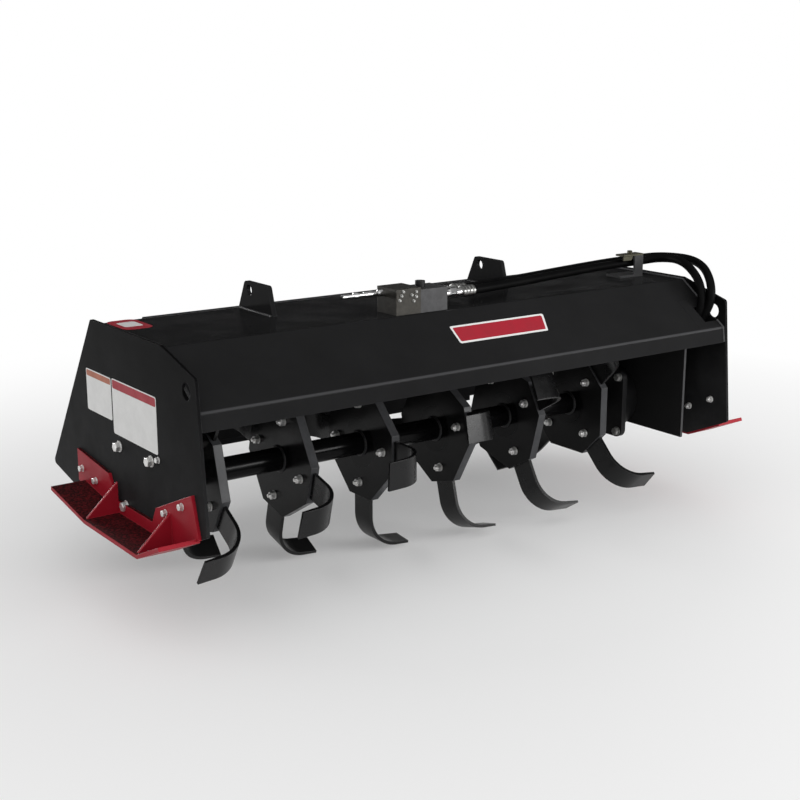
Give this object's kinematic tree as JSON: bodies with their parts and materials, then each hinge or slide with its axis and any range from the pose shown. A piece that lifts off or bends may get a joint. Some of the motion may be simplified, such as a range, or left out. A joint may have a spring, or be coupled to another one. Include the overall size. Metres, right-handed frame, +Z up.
{
  "type": "loader-mounted rotary tiller",
  "caption": "Rotary tiller with a sheet hood, end plates, skid shoes and a hydraulic tined reel, carried on a loader's coupler plate.",
  "frame": {"origin": "middle of the coupler plate's rear face", "axes": "+X along the reel towards its drive end, -Y to the front with the sloped hood, +Z up"},
  "size_m": [1.885, 0.9214, 0.7514],
  "materials": {
    "black_paint": "satin powder coat",
    "red_paint": "satin powder coat",
    "black_casting": "painted casting",
    "valve_steel": "dull plated steel",
    "grey_block": "dull grey",
    "black_cap": "matt",
    "bright_fittings": "bright plated",
    "hose_rubber": "matt",
    "clamp_grey": "satin",
    "yellow_zinc": "yellow zinc plate",
    "reel_paint": "satin",
    "tine_steel": "satin, painted steel"
  },
  "bodies": {
    "frame": {"end_plate_left": "black_paint", "end_plate_right": "black_paint", "hood_sheet": "black_paint", "rear_beam": "black_paint", "coupler_plate": "black_paint", "coupler_uprights": "black_paint", "lift_lug_left": "black_paint", "lift_lug_right": "black_paint", "drive_wall": "black_paint", "skid_shoe_left": "red_paint", "skid_shoe_right": "red_paint", "reel_bearing": "black_casting", "motor_nose": "black_casting", "motor_body": "black_casting", "valve_block": "valve_steel", "valve_side_block": "grey_block", "valve_cap": "black_cap", "outlet_fittings": "bright_fittings", "inlet_tube": "bright_fittings", "hose_outer": "hose_rubber", "hose_inner": "hose_rubber", "hose_clamp_bracket": "clamp_grey", "hose_clamp_cap": "yellow_zinc"},
    "reel": {"reel_shaft": "reel_paint", "tines_1": "tine_steel", "tines_2": "tine_steel", "tines_3": "tine_steel", "tines_4": "tine_steel", "tines_5": "tine_steel", "tines_6": "tine_steel"}
  },
  "joints": [
    {"name": "reel_spin", "type": "hinge", "parent": "frame", "child": "reel", "pos_m": [0, -0.5, -0.105], "axis": [1, 0, 0], "continuous": true}
  ]
}
